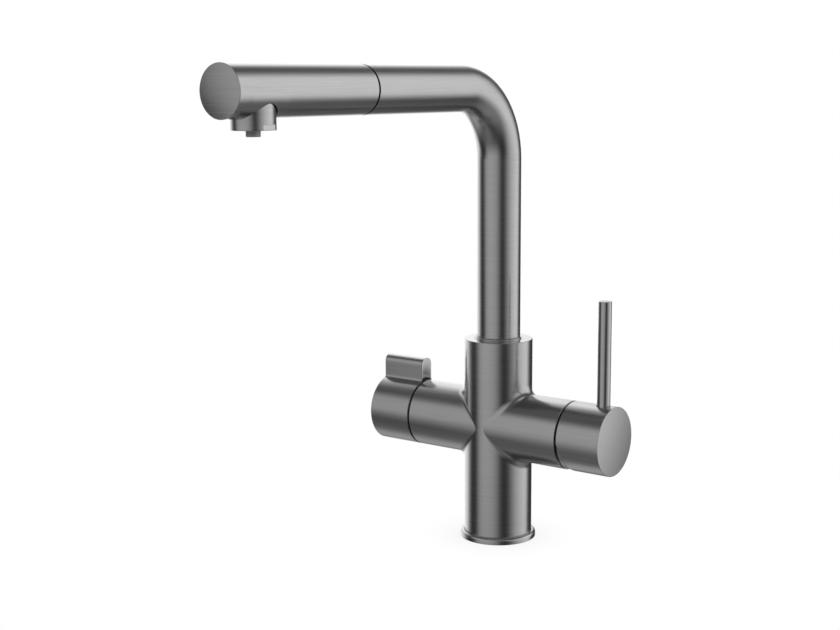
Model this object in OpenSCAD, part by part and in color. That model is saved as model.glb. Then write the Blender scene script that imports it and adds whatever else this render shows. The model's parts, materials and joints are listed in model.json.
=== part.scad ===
// Three-way kitchen mixer tap with a pull-out handset.
// The origin is on the worktop under the middle of the base flange.
// +Z is up, the spout points along -Y, the mixer handle is on +X and the filter handle on -X.

/* [Body] */
// Diameter of the upright barrel
body_d = 44; // [43:0.5:48]
// Height of the barrel's top rim above the worktop
body_h = 131.5; // [128:0.5:145]
// Diameter of both side arms
arm_d = 43.6; // [42.4:0.1:43.8]
// Height of the valve axis above the worktop
valve_h = 75; // [70:0.5:78]
// Distance from the barrel axis to the end of the mixer arm
mixer_arm = 55.8; // [54:0.1:60]
// Distance from the barrel axis to the end of the filter arm
filter_arm = 56.3; // [55:0.1:62]
// Radius of the cast fillet where the arms meet the barrel
arm_fillet = 3; // [1.5:0.1:4]
// Rounding of the mixer arm's end rim
arm_round = 0.8; // [0.3:0.1:1.2]
// Diameter of the hose passage down the middle
passage_d = 17; // [15:0.5:18]

/* [Base] */
// Diameter of the base flange
flange_d = 49.2; // [48.6:0.1:56]
// Height of the base flange
flange_h = 4; // [3.6:0.1:5]
// Radius of the flange's top edge
flange_round = 1.6; // [0.6:0.1:1.9]
// Thickness of the flange under the barrel
flange_seat = 2; // [1.8:0.1:2.4]
// Diameter of the inlet block
block_d = 38.6; // [37:0.1:39]
// Height of the inlet block
block_h = 16; // [14:0.5:20]
// Core diameter of the tapped inlets, M10x1
port_d = 9; // [8:0.1:9]
// Depth of the tapped inlets
port_depth = 12; // [9:0.5:13]
// Diameter of the circle that the inlets lie on
port_circle = 29; // [28.2:0.1:29]
// Core diameter of the tapped stud holes, M6
stud_d = 5; // [4:0.1:5.2]
// Depth of the stud holes
stud_depth = 12; // [8:0.5:13]
// Distance between the two stud holes
stud_pitch = 29; // [28:0.1:30]

/* [Spout] */
// Outer diameter of the spout tube and the handset
tube_d = 28; // [27.6:0.1:28.4]
// Wall of the spout tube
tube_wall = 1.4; // [1.2:0.1:1.5]
// Height of the spout's level axis above the worktop
spout_h = 290.5; // [280:0.5:330]
// Bend radius of the spout's centre line
bend_r = 44.5; // [38:0.5:52]
// Distance from the barrel axis to the spout's mouth
spout_reach = 138.3; // [120:0.1:160]
// Diameter of the slip ring under the spout
slip_d = 29.4; // [28.8:0.1:31]
// Height of the slip ring
slip_h = 1; // [0.6:0.1:1.5]
// Swivel of the spout to each side, in degrees
swivel = 75; // [40:1:80]
// Length of the docking sleeve in the spout's mouth
dock_l = 24; // [18:0.5:30]

/* [Handset] */
// Wall of the handset shell
shell_wall = 1.2; // [1:0.1:1.3]
// Gap of the seam between the spout and the handset
seam_gap = 0.9; // [0.3:0.1:1.2]
// Distance from the barrel axis to the outlet's axis
outlet_reach = 224.4; // [210:0.1:236]
// Distance from the outlet's axis to the handset's flat end
outlet_inset = 23.4; // [21:0.1:40]
// Diameter of the outlet housing
outlet_d = 23.5; // [21:0.1:24]
// Depth of the outlet's rim below the spout's level axis
outlet_drop = 19.7; // [18:0.1:22]
// Rise of the slight crown on the handset's end
cap_crown = 0.6; // [0.2:0.1:1.2]
// Gap round the outlet where it leaves the shell
outlet_gap = 0.7; // [0.4:0.1:0.8]
// Distance between the two spanner flats of the outlet
outlet_flats = 21.9; // [20:0.1:22.4]
// Height of the spanner flats
flats_h = 3; // [2:0.1:4]
// Diameter of the filtered-water nozzle
nozzle_d = 7.6; // [6.6:0.1:7.8]
// How far the nozzle sits in front of the outlet's axis
nozzle_shift = 0.3; // [0:0.1:1.6]
// How far the nozzle stands out below the outlet's rim
nozzle_drop = 3.3; // [2:0.1:5]
// Diameter of the handset tail that slides into the spout
tail_d = 18.2; // [17.6:0.1:18.6]
// Diameter of the pull-out hose
hose_d = 13; // [11:0.5:13]

/* [Mixer handle] */
// Gap between the mixer arm and its handle
handle_gap = 0.8; // [0.6:0.1:1]
// Distance from the barrel axis to the handle's flat end
handle_end = 86; // [84:0.1:92]
// Rise of the slight crown on the handle's end
handle_crown = 0.4; // [0.2:0.1:1]
// Tilt of the lever from shut to full flow, in degrees
flow_tilt = 13.5; // [10:0.5:15]
// Wall of the handle cup
handle_wall = 2.2; // [1.8:0.1:2.4]
// Distance from the barrel axis to the lever
lever_x = 78; // [76:0.1:79]
// Diameter of the lever
lever_d = 8; // [6:0.1:9]
// Height of the lever's tip above the valve axis
lever_top = 88.2; // [60:0.1:110]
// Diameter of the cartridge
cartridge_d = 28; // [26:0.1:29]

/* [Filter handle] */
// Thickness of the black glide ring
glide_t = 1.4; // [1:0.1:2]
// Distance from the barrel axis to the filter handle's flat end
filter_end = 88.8; // [86:0.1:96]
// Thickness of the tab lever
tab_t = 10.6; // [8:0.1:12]
// Height of the tab's top above the valve axis
tab_top = 36.5; // [32:0.1:45]
// Rounding of the tab's top edges
tab_round = 4.2; // [1:0.1:5]
// Fillet at the tab's foot
tab_fillet = 2; // [1:0.1:3]

/* [Hidden] */
$fn = 96;
// Radial clearance of a running fit and of a fixed fit
run = 0.08;
fit = 0.05;
// Clearance between parts that only pass each other
clear = 0.4;
// Overshoot of a cutting tool past a face
over = 1;
// Radii that follow from the diameters above
body_r = body_d / 2;
arm_r = arm_d / 2;
tube_r = tube_d / 2;
tube_in = tube_r - tube_wall;
shell_in = tube_r - shell_wall;
passage_r = passage_d / 2;
hose_r = hose_d / 2;
cartridge_r = cartridge_d / 2;
outlet_r = outlet_d / 2;
nozzle_r = nozzle_d / 2;
tail_r = tail_d / 2;
block_r = block_d / 2;
// Inlets round the block: cold, mixed and hot on the mixer's side, filtered in and out opposite
port_angles = [-50, 0, 50, 154, 206];
channel_r = 2.2;
mixed_drop = 8;
mixer_port_y = port_circle / 2 * sin(50);
filter_port_y = port_circle / 2 * sin(154);
// Colours
gunmetal = [0.36, 0.36, 0.36];
brass = [0.72, 0.6, 0.36];
steel = [0.7, 0.7, 0.72];
acetal = [0.85, 0.85, 0.82];
black_plastic = [0.06, 0.06, 0.06];
rubber = [0.1, 0.1, 0.1];
braid = [0.22, 0.22, 0.23];

// Spout bearing inside the top of the barrel
foot_r = tube_in + 0.8;
bearing_wall = 2;
chamber_r = foot_r + run + bearing_wall + fit;
chamber_depth = 29;
chamber_z = body_h - chamber_depth;
lower_bearing_h = 7;
slip_base = 1;
upper_bearing_h = 6;
foot_bore_r = hose_r + 3;
foot_spigot = 17;
screw_up = 14.5;
screw_z = chamber_z + screw_up;
screw_r = 2.5;
screw_tip_r = 1.8;
groove_depth = 1.5;
o_ring_z = screw_z + 4.6;
// Mixer cartridge
pivot_x = mixer_arm + handle_gap;
cart_floor = 20;
cart_seal_t = 1;
nut_depth = 11.8;
cart_shoulder = mixer_arm - nut_depth;
cart_neck_r = 10;
cart_neck_l = 18;
cart_neck_end = cart_shoulder + cart_neck_l;
nut_r = 17;
nut_l = 7;
rotor_r = 8;
rotor_depth = 10.1;
rotor_back = pivot_x - rotor_depth;
rotor_front = cart_neck_end - 0.5;
stem_t = 6;
stem_square = 8;
slot_h = 14;
dome_r = arm_r - handle_wall - clear;
dome_reach = 10;
dome_bore_r = 15;
hub_r = 8.5;
hub_gap = 3.5;
hub_back = cart_neck_end + hub_gap;
end_wall = 3;
lever_sink = 1.5;
lever_foot = sqrt(pow(arm_r, 2) - pow(lever_d / 2, 2)) - lever_sink;
thread_r = 3;
spigot_l = 9;
grub_l = 6;
notch = flow_tilt + 0.5;
// Filter valve
glide_r = arm_r - 0.9;
glide_in = 17;
seat_r = 9.5;
head_floor = 20;
head_depth = 12.3;
head_shoulder = filter_arm - head_depth;
head_thread_r = 12;
head_collar_l = 6;
head_hex_l = 5;
head_hex_r = 10;
head_neck_r = 6.5;
head_neck_l = 7;
spindle_r = 4;
spindle_square = 5.4;
filter_start = filter_arm + glide_t + fit;
filter_wall = 2.4;
filter_end_wall = 3.5;
filter_hub_r = 8;
filter_hub_gap = 8;
filter_hub_start = filter_arm + filter_hub_gap;
filter_grub_r = 2;
filter_grub_in = 9;
filter_grub_x = filter_hub_start + filter_grub_in;
// Handset
handset_end = outlet_reach + outlet_inset;
shell_start = spout_reach + seam_gap;
cap_t = 1.2;
cap_groove = 0.4;
cap_r = tube_r - 0.3;
cap_neck_r = shell_in;
cap_spigot = 5;
core_end = handset_end - cap_t - cap_groove - cap_spigot - 0.3;
core_r = shell_in - fit;
water_r = 4.2;
water_z = -3;
outlet_top = 3;
outlet_wall = 1.6;
outlet_roof = 3.5;
mixed_hole_y = 6.4;
rim_z = spout_h - outlet_drop;
nozzle_reach = outlet_reach + nozzle_shift;
nozzle_bore_r = 2.2;
aerator_back = 1.5;
aerator_h = 5.7;
rib_t = 0.7;
ribs = 12;
tail_flange = 4.6;
core_start = shell_start + tail_flange + 0.8;
tail_l = 22;
nipple_r = 6.2;
nipple_l = 8;
valve_r = 5.6;
tail_bore_r = 4.5;
hose_nut_l = 14;
ferrule_r = 7.7;
ferrule_l = 15;
tail_end = shell_start - tail_l;
nipple_end = tail_end - nipple_l;
hose_nut_end = tail_end - hose_nut_l;
ferrule_end = hose_nut_end - ferrule_l;
hose_tip = nipple_end - 0.5;
hose_lead = 5.5;
hose_split = bend_r + hose_lead;
hose_split_gap = 0.3;

// A cylinder along +X from x0 to x1 on the valve axis
module bar_x(r, x0, x1) {
    translate([x0, 0, valve_h])
        rotate([0, 90, 0])
            cylinder(r = r, h = x1 - x0);
}

// A cylinder along -Y between two distances from the barrel axis, dz above the spout's axis
module bar_y(r, y0, y1, dz = 0) {
    translate([0, -y0, spout_h + dz])
        rotate([90, 0, 0])
            cylinder(r = r, h = y1 - y0);
}

// A ring along +Z
module ring(r_out, r_in, z0, z1) {
    translate([0, 0, z0])
        difference() {
            cylinder(r = r_out, h = z1 - z0);
            translate([0, 0, -over])
                cylinder(r = r_in, h = z1 - z0 + 2 * over);
        }
}

// A ring along +X on the valve axis
module ring_x(r_out, r_in, x0, x1) {
    difference() {
        bar_x(r_out, x0, x1);
        bar_x(r_in, x0 - over, x1 + over);
    }
}

// A ring along -Y on the spout's axis
module ring_y(r_out, r_in, y0, y1) {
    difference() {
        bar_y(r_out, y0, y1);
        bar_y(r_in, y0 - over, y1 + over);
    }
}

// A round bar along +X whose far rim is rounded
module rounded_bar_x(r, x0, x1, edge) {
    translate([x0, 0, valve_h])
        rotate([0, 90, 0])
            rotate_extrude()
                union() {
                    square([r - edge, x1 - x0]);
                    square([r, x1 - x0 - edge]);
                    translate([r - edge, x1 - x0 - edge])
                        circle(r = edge);
                }
}

// Slight crown on an end face: a slice of a large ball that rises by h over the radius r
module crown(r, h) {
    ball_r = (r * r + h * h) / (2 * h);
    rotate_extrude()
        intersection() {
            translate([0, h - ball_r])
                circle(r = ball_r, $fn = 720);
            translate([0, -h])
                square([r, 2 * h]);
        }
}

// Rolling-ball fillet between the barrel and an arm.
// The ball touches both cylinders, so its centre lies where the two cylinders grown by the
// fillet radius cross. Each section runs over the ball from a point sunk in the barrel to a
// point sunk in the arm.
fillet_from = 12;
fillet_steps = 22;
fillet_arc = 6;
fillet_sink = 0.25;
function ball(t) = let (y = (arm_r + arm_fillet) * cos(t))
    [sqrt(pow(body_r + arm_fillet, 2) - y * y), y, (arm_r + arm_fillet) * sin(t)];
function to_body(c) = -[c[0], c[1], 0] / (body_r + arm_fillet);
function to_arm(c) = -[0, c[1], c[2]] / (arm_r + arm_fillet);
function unit(v) = v / norm(v);
function fillet_section(t) = let (
        c = ball(t),
        b = to_body(c),
        a = to_arm(c),
        m = unit(a + b))
    concat(
        [c + b * (arm_fillet + fillet_sink)],
        [for (i = [1 : fillet_arc - 1]) c + unit(b + (a - b) * i / fillet_arc) * arm_fillet],
        [c + a * (arm_fillet + fillet_sink)],
        [c + m * arm_fillet * 2]);
module arm_fillet_half() {
    n = fillet_arc + 2;
    fillet_turn = 180 - 2 * fillet_from;
    sections = [for (s = [0 : fillet_steps])
        fillet_section(fillet_from + fillet_turn * s / fillet_steps)];
    points = [for (section = sections) for (p = section) p];
    sides = [for (s = [0 : fillet_steps - 1]) for (i = [0 : n - 1])
        let (j = (i + 1) % n, p = s * n, q = p + n)
            each [[p + i, q + j, p + j], [p + i, q + i, q + j]]];
    first = [for (i = [1 : n - 2]) [0, i, i + 1]];
    last = [for (i = [1 : n - 2]) [fillet_steps * n, fillet_steps * n + i + 1, fillet_steps * n + i]];
    polyhedron(points = points, faces = concat(sides, first, last));
}
module arm_fillets() {
    for (side = [0, 1])
        for (half = [0, 1])
            translate([0, 0, valve_h])
                mirror([side, 0, 0])
                    mirror([0, 0, half])
                        arm_fillet_half();
}

// Cast waterways: up from the block's ports, then across to the cartridge and the filter valve
module waterways() {
    for (a = port_angles) {
        top = valve_h - (a == 0 ? mixed_drop : 0);
        x = port_circle / 2 * cos(a);
        y = port_circle / 2 * sin(a);
        translate([x, y, block_h - over])
            cylinder(r = channel_r, h = top - block_h + over);
        translate([x, y, top])
            rotate([0, x > 0 ? 90 : -90, 0])
                cylinder(r = channel_r, h = (x > 0 ? cart_floor : head_floor) - abs(x) + over);
    }
}

// Cast body: barrel and two arms, with the bores for the block, hose, spout foot and valves
module body() {
    color(gunmetal)
        difference() {
            union() {
                translate([0, 0, flange_seat])
                    cylinder(r = body_r, h = body_h - flange_seat);
                rounded_bar_x(arm_r, 0, mixer_arm, arm_round);
                bar_x(arm_r, -filter_arm, 0);
                arm_fillets();
            }
            translate([0, 0, flange_seat - over])
                cylinder(r = block_r + fit, h = block_h - flange_seat + over);
            cylinder(r = passage_r, h = body_h);
            waterways();
            translate([0, 0, chamber_z])
                cylinder(r = chamber_r, h = chamber_depth + over);
            bar_x(cartridge_r + fit, cart_floor, cart_shoulder + over);
            bar_x(nut_r + fit, cart_shoulder, mixer_arm + over);
            bar_x(seat_r + fit, -head_shoulder - over, -head_floor);
            bar_x(head_thread_r + fit, -filter_arm - over, -head_shoulder);
            translate([0, chamber_r - over, screw_z])
                rotate([-90, 0, 0])
                    cylinder(r = screw_r, h = body_r);
        }
}

// Flange ring with a rounded top edge, a seat for the barrel and a groove for the seal
seal_out = body_r + 0.4;
seal_in = seal_out - 1.8;
seal_h = 1.2;
module base_flange() {
    color(gunmetal)
        rotate_extrude()
            difference() {
                union() {
                    square([flange_d / 2, flange_h - flange_round]);
                    square([flange_d / 2 - flange_round, flange_h]);
                    translate([flange_d / 2 - flange_round, flange_h - flange_round])
                        circle(r = flange_round);
                }
                translate([-over, -over])
                    square([block_r + 2 * fit + over, flange_h + 2 * over]);
                translate([0, flange_seat])
                    square([body_r + fit, flange_h]);
                translate([seal_in, -over])
                    square([seal_out - seal_in, seal_h + over]);
            }
}

module base_seal() {
    color(rubber)
        ring(seal_out - fit, seal_in + fit, 0, seal_h);
}

// Inlet block: tapped inlets and outlets, two tapped stud holes and the hose passage
module inlet_block() {
    color(brass)
        difference() {
            cylinder(r = block_r, h = block_h);
            translate([0, 0, -over])
                cylinder(r = passage_r, h = block_h + 2 * over);
            for (a = port_angles)
                rotate(a)
                    translate([port_circle / 2, 0, -over]) {
                        cylinder(d = port_d, h = port_depth + over);
                        cylinder(r = channel_r, h = block_h + 2 * over);
                    }
            for (a = [-90, 90])
                rotate(a)
                    translate([stud_pitch / 2, 0, -over])
                        cylinder(d = stud_d, h = stud_depth + over);
        }
}

// Slip ring under the spout, on a wider base that closes the mouth of the chamber
module slip_ring() {
    color(gunmetal)
        union() {
            ring(slip_d / 2, foot_r + run, body_h - slip_base, body_h + slip_h);
            ring(chamber_r - fit, foot_r + run, body_h - slip_base, body_h);
        }
}

module upper_bearing() {
    top = body_h - slip_base - fit;
    color(acetal)
        ring(chamber_r - fit, foot_r + run, top - upper_bearing_h, top);
}

module lower_bearing() {
    color(acetal)
        ring(chamber_r - fit, foot_r + run, chamber_z, chamber_z + lower_bearing_h);
}

module spout_o_ring() {
    o_r = (chamber_r - foot_r) / 2 - fit;
    color(rubber)
        translate([0, 0, o_ring_z])
            rotate_extrude()
                translate([(chamber_r + foot_r) / 2, 0])
                    circle(r = o_r);
}

// Grub screw at the back of the barrel whose tip runs in the foot's groove
module swivel_screw() {
    tip = foot_r - groove_depth + clear;
    color(steel)
        translate([0, 0, screw_z])
            rotate([-90, 0, 0])
                difference() {
                    union() {
                        translate([0, 0, tip])
                            cylinder(r = screw_tip_r, h = chamber_r - tip + over);
                        translate([0, 0, chamber_r])
                            cylinder(r = screw_r - fit, h = body_r - chamber_r - 0.6);
                    }
                    translate([0, 0, body_r - 3])
                        cylinder(d = 2.9, h = 3, $fn = 6);
                }
}

// Mixer cartridge, fixed parts
module cartridge_seal() {
    color(rubber)
        difference() {
            bar_x(cartridge_r - 0.4, cart_floor, cart_floor + cart_seal_t);
            for (hole = [[-mixer_port_y, 0], [mixer_port_y, 0], [0, -mixed_drop]])
                translate([0, hole[0], hole[1]])
                    bar_x(channel_r, cart_floor - over, cart_floor + cart_seal_t + over);
        }
}

module cartridge_housing() {
    color(acetal)
        difference() {
            union() {
                bar_x(cartridge_r, cart_floor + cart_seal_t, cart_shoulder);
                bar_x(cart_neck_r, cart_shoulder, cart_neck_end);
            }
            bar_x(rotor_r + run, rotor_back - clear, cart_neck_end + over);
        }
}

module cartridge_nut() {
    slot = 4;
    color(brass)
        difference() {
            ring_x(nut_r, cart_neck_r + fit, cart_shoulder, cart_shoulder + nut_l);
            for (a = [0 : 90 : 270])
                translate([cart_shoulder + nut_l - 2, 0, valve_h])
                    rotate([a, 0, 0])
                        translate([0, -slot / 2, nut_r - 3])
                            cube([3, slot, 4]);
        }
}

// Ball-shaped shroud round the pivot of the lever; it shows in the slanted cut of the handle
module dome_shroud() {
    color(gunmetal)
        difference() {
            union() {
                bar_x(nut_r, cart_shoulder + nut_l + 0.1, mixer_arm);
                intersection() {
                    translate([pivot_x, 0, valve_h])
                        rotate([0, 90, 0])
                            sphere(r = dome_r);
                    bar_x(arm_r, mixer_arm, pivot_x + dome_reach);
                }
            }
            bar_x(dome_bore_r, cart_shoulder, pivot_x + dome_reach + over);
        }
}

// Rotor of the cartridge, turned by the handle for hot and cold, slotted for the stem
module cartridge_rotor() {
    color(acetal)
        difference() {
            bar_x(rotor_r, rotor_back, rotor_front);
            translate([rotor_back + 2, -stem_t / 2 - run, valve_h - slot_h / 2])
                cube([rotor_front, stem_t + 2 * run, slot_h]);
            translate([pivot_x, rotor_r + over, valve_h])
                rotate([90, 0, 0])
                    cylinder(r = 1.5 + fit, h = 2 * (rotor_r + over));
        }
}

module rotor_pin() {
    color(steel)
        translate([pivot_x, rotor_r - 0.6, valve_h])
            rotate([90, 0, 0])
                cylinder(r = 1.5, h = 2 * (rotor_r - 0.6));
}

// Stem: flat blade in the rotor's slot and a square end for the handle
module cartridge_stem() {
    blade_back = rotor_back + 3;
    square_start = cart_neck_end + 1.4;
    square_end = handle_end - end_wall - 0.6;
    color(steel)
        difference() {
            union() {
                translate([blade_back, -stem_t / 2, valve_h - stem_square / 2])
                    cube([square_start - blade_back, stem_t, stem_square]);
                translate([square_start, -stem_square / 2, valve_h - stem_square / 2])
                    cube([square_end - square_start, stem_square, stem_square]);
            }
            translate([pivot_x, stem_square, valve_h])
                rotate([90, 0, 0])
                    cylinder(r = 1.5 + run, h = 2 * stem_square);
        }
}

// Mixer handle: cup with a hub for the stem, a boss for the lever and a slanted cut below
module mixer_handle() {
    cup_floor = handle_end - end_wall;
    edge = 0.35;
    color(gunmetal)
        difference() {
            union() {
                difference() {
                    rounded_bar_x(arm_r, pivot_x, handle_end, edge);
                    bar_x(arm_r - handle_wall, pivot_x - over, cup_floor);
                }
                translate([handle_end, 0, valve_h])
                    rotate([0, 90, 0])
                        crown(arm_r - edge, handle_crown);
                bar_x(hub_r, hub_back, cup_floor + over);
                translate([lever_x, 0, valve_h])
                    cylinder(r = 5.4, h = arm_r - handle_wall / 2);
            }
            translate([hub_back - over, -stem_square / 2 - fit, valve_h - stem_square / 2 - fit])
                cube([cup_floor - hub_back + over, stem_square + 2 * fit, stem_square + 2 * fit]);
            translate([lever_x, 0, valve_h])
                cylinder(r = thread_r, h = arm_r);
            translate([lever_x, 0, valve_h + lever_foot])
                cylinder(r = lever_d / 2 + fit, h = arm_r);
            translate([pivot_x, -body_d, valve_h])
                rotate([0, -90 - notch, 0])
                    translate([-2 * body_d, 0, 0])
                        cube([2 * body_d, 2 * body_d, body_d]);
        }
}

module lever_rod() {
    edge = 0.4;
    z0 = valve_h + lever_foot;
    z1 = valve_h + lever_top;
    color(gunmetal)
        translate([lever_x, 0, 0])
            union() {
                translate([0, 0, z0])
                    cylinder(r = lever_d / 2, h = z1 - z0 - edge);
                translate([0, 0, z1 - edge])
                    cylinder(r1 = lever_d / 2, r2 = lever_d / 2 - edge, h = edge);
                translate([0, 0, z0 - spigot_l])
                    cylinder(r = thread_r - fit, h = spigot_l + over);
            }
}

module lever_grub() {
    color(steel)
        translate([lever_x, 0, valve_h + stem_square / 2 + fit])
            difference() {
                cylinder(r = thread_r - fit, h = grub_l);
                translate([0, 0, grub_l - 3])
                    cylinder(d = 3.4, h = 3 + over, $fn = 6);
            }
}

// Filter valve
module headwork_seal() {
    color(rubber)
        difference() {
            bar_x(seat_r - 0.2, -head_floor - 1, -head_floor);
            for (side = [-1, 1])
                translate([0, side * filter_port_y, 0])
                    bar_x(channel_r, -head_floor - 1 - over, -head_floor + over);
        }
}

module headwork_body() {
    hex_start = head_shoulder + head_collar_l;
    neck_start = hex_start + head_hex_l;
    color(brass)
        difference() {
            union() {
                bar_x(seat_r, -head_shoulder, -head_floor - 1);
                bar_x(head_thread_r, -hex_start, -head_shoulder);
                translate([-neck_start, 0, valve_h])
                    rotate([0, 90, 0])
                        cylinder(r = head_hex_r, h = head_hex_l, $fn = 6);
                bar_x(head_neck_r, -neck_start - head_neck_l, -neck_start);
            }
            bar_x(spindle_r + run, -neck_start - head_neck_l - over, -head_floor - 8);
        }
}

module glide_ring() {
    color(black_plastic)
        ring_x(glide_r, glide_in, -filter_arm - glide_t, -filter_arm);
}

module filter_spindle() {
    square_end = filter_end - filter_end_wall - 0.6;
    square_start = filter_hub_start - 1;
    color(brass)
        union() {
            bar_x(spindle_r, -square_start, -head_floor - 8.5);
            translate([-square_end, -spindle_square / 2, valve_h - spindle_square / 2])
                cube([square_end - square_start + over, spindle_square, spindle_square]);
        }
}

// Outline of the filter handle, seen along its axis: round, with a tab and its foot fillets
module filter_outline() {
    half = tab_t / 2;
    edge = min(tab_round, half - 0.1);
    corner = tab_top - edge;
    ball_y = half + tab_fillet;
    ball_z = sqrt(pow(arm_r + tab_fillet, 2) - ball_y * ball_y);
    touch = arm_r / (arm_r + tab_fillet);
    circle(r = arm_r);
    translate([-half, 0])
        square([tab_t, corner]);
    translate([-half + edge, 0])
        square([tab_t - 2 * edge, tab_top]);
    for (side = [-1, 1])
        translate([side * (half - edge), corner])
            circle(r = edge);
    for (side = [0, 1])
        mirror([side, 0])
            difference() {
                polygon([[half - 1, ball_z], [ball_y, ball_z], [ball_y * touch, ball_z * touch],
                         [half - 1, arm_r - 3]]);
                translate([ball_y, ball_z])
                    circle(r = tab_fillet);
            }
}

// Filter handle: cup with the full-length tab lever and a hub for the spindle
module filter_handle() {
    cup_floor = filter_end - filter_end_wall;
    color(gunmetal)
        difference() {
            union() {
                difference() {
                    translate([-filter_end, 0, valve_h])
                        rotate([90, 0, 90])
                            linear_extrude(height = filter_end - filter_start)
                                filter_outline();
                    bar_x(arm_r - filter_wall, -cup_floor, -filter_start + over);
                }
                bar_x(filter_hub_r, -cup_floor - over, -filter_hub_start);
            }
            translate([-cup_floor, -spindle_square / 2 - fit, valve_h - spindle_square / 2 - fit])
                cube([cup_floor, spindle_square + 2 * fit, spindle_square + 2 * fit]);
            translate([-filter_grub_x, 0, valve_h - filter_hub_r - over])
                cylinder(r = filter_grub_r, h = filter_hub_r);
            translate([-filter_grub_x, 0, valve_h - arm_r - over])
                cylinder(r = filter_grub_r + 0.6, h = filter_wall + 2 * over);
        }
}

module filter_grub() {
    color(steel)
        translate([-filter_grub_x, 0, valve_h - filter_hub_r])
            difference() {
                cylinder(r = filter_grub_r - fit, h = filter_hub_r - spindle_square / 2 - 2 * fit);
                translate([0, 0, -over])
                    cylinder(d = 2.2, h = 3, $fn = 6);
            }
}

// A round bar that follows the spout's axis: up the riser, round the bend and along to the mouth
module spout_path(r, z0, y1) {
    translate([0, 0, z0])
        cylinder(r = r, h = spout_h - bend_r - z0);
    translate([0, -bend_r, spout_h - bend_r])
        rotate([90, 0, 90])
            rotate_extrude(angle = 90)
                translate([bend_r, 0])
                    circle(r = r);
    bar_y(r, bend_r, y1);
}

tube_foot_z = body_h + slip_h + fit;
module spout_tube() {
    color(gunmetal)
        difference() {
            spout_path(tube_r, tube_foot_z, spout_reach);
            spout_path(tube_in, tube_foot_z - over, spout_reach + over);
        }
}

// Turned foot of the spout: journal, stop groove and the spigot inside the tube
module spout_foot() {
    half_groove = swivel + 9.5;
    color(brass)
        difference() {
            union() {
                translate([0, 0, chamber_z + clear])
                    cylinder(r = foot_r, h = tube_foot_z - chamber_z - clear);
                translate([0, 0, tube_foot_z])
                    cylinder(r = tube_in - fit, h = foot_spigot);
            }
            translate([0, 0, chamber_z - over])
                cylinder(r = foot_bore_r, h = spout_h);
            translate([0, 0, screw_z])
                rotate(90 - half_groove)
                    rotate_extrude(angle = 2 * half_groove)
                        translate([foot_r - groove_depth, -screw_tip_r - clear])
                            square([groove_depth + over, 2 * (screw_tip_r + clear)]);
        }
}

module docking_sleeve() {
    color(black_plastic)
        ring_y(tube_in - fit, tail_r + run, spout_reach - dock_l, spout_reach - 0.3);
}

// The hose inside the bend and the riser, down to the block
module riser_hose() {
    color(braid)
        spout_path(hose_r, 1, hose_split - hose_split_gap);
}

module handset_shell() {
    color(gunmetal)
        difference() {
            ring_y(tube_r, shell_in, shell_start, handset_end - cap_t - cap_groove);
            translate([0, -outlet_reach, spout_h - tube_d])
                cylinder(r = outlet_r + outlet_gap, h = tube_d);
        }
}

// Flat end cap: a disc with a fine shadow groove behind it and a spigot in the shell
module end_cap() {
    disc = handset_end - cap_t;
    edge = 0.3;
    color(gunmetal)
        union() {
            translate([0, -handset_end, spout_h])
                rotate([90, 0, 0])
                    crown(tube_r - edge, cap_crown);
            bar_y(tube_r, disc, handset_end - edge);
            translate([0, -handset_end + edge, spout_h])
                rotate([90, 0, 0])
                    cylinder(r1 = tube_r, r2 = tube_r - edge, h = edge);
            bar_y(cap_neck_r - fit, disc - cap_groove - cap_spigot, disc);
        }
}

// Waterway core: mixed water on the axis, filtered water above it, outlet socket below
filter_bore_z = 8;
module handset_core() {
    color(black_plastic)
        difference() {
            bar_y(core_r, core_start, core_end);
            bar_y(water_r, core_start - over, outlet_reach, water_z);
            bar_y(nozzle_bore_r, core_start - over, nozzle_reach + nozzle_bore_r, filter_bore_z);
            translate([0, -outlet_reach, spout_h - tube_d])
                cylinder(r = outlet_r + fit, h = tube_d - outlet_top);
            translate([0, -nozzle_reach, spout_h - tube_d])
                cylinder(r = nozzle_bore_r, h = tube_d + filter_bore_z);
        }
}

// Outlet housing: cup that carries the aerator and the nozzle, with two spanner flats
module outlet_housing() {
    top = spout_h - outlet_top - fit;
    color(gunmetal)
        difference() {
            translate([0, -outlet_reach, rim_z])
                cylinder(r = outlet_r, h = top - rim_z);
            translate([0, -outlet_reach, rim_z - over])
                cylinder(r = outlet_r - outlet_wall, h = top - rim_z - outlet_roof + over);
            translate([0, -nozzle_reach, rim_z])
                cylinder(r = nozzle_bore_r + 0.9 + fit, h = tube_d);
            translate([0, -outlet_reach + mixed_hole_y, rim_z])
                cylinder(r = 2.2, h = tube_d);
            for (side = [-1, 1])
                translate([side * (outlet_flats + outlet_d) / 2, -outlet_reach, rim_z + flats_h / 2])
                    cube([outlet_d, outlet_d, flats_h + 0.001], center = true);
        }
}

// Aerator: rim, ring and ribs of the grille round the nozzle
module aerator() {
    outer = outlet_r - outlet_wall - fit;
    z0 = rim_z + aerator_back;
    color(black_plastic)
        difference() {
            translate([0, -outlet_reach, z0])
                union() {
                    ring(outer, outer - 0.9, 0, aerator_h);
                    ring(outer * 0.78, outer * 0.78 - rib_t, 0, aerator_h);
                    intersection() {
                        cylinder(r = outer - 0.4, h = aerator_h);
                        for (a = [0 : 360 / ribs : 359])
                            rotate(a)
                                translate([0, -rib_t / 2, 0])
                                    cube([outer, rib_t, aerator_h]);
                    }
                    translate([0, -nozzle_shift, 0])
                        cylinder(r = nozzle_r + 1.2, h = aerator_h);
                }
            translate([0, -nozzle_reach, z0 - over])
                cylinder(r = nozzle_r + fit, h = aerator_h + 2 * over);
        }
}

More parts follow.
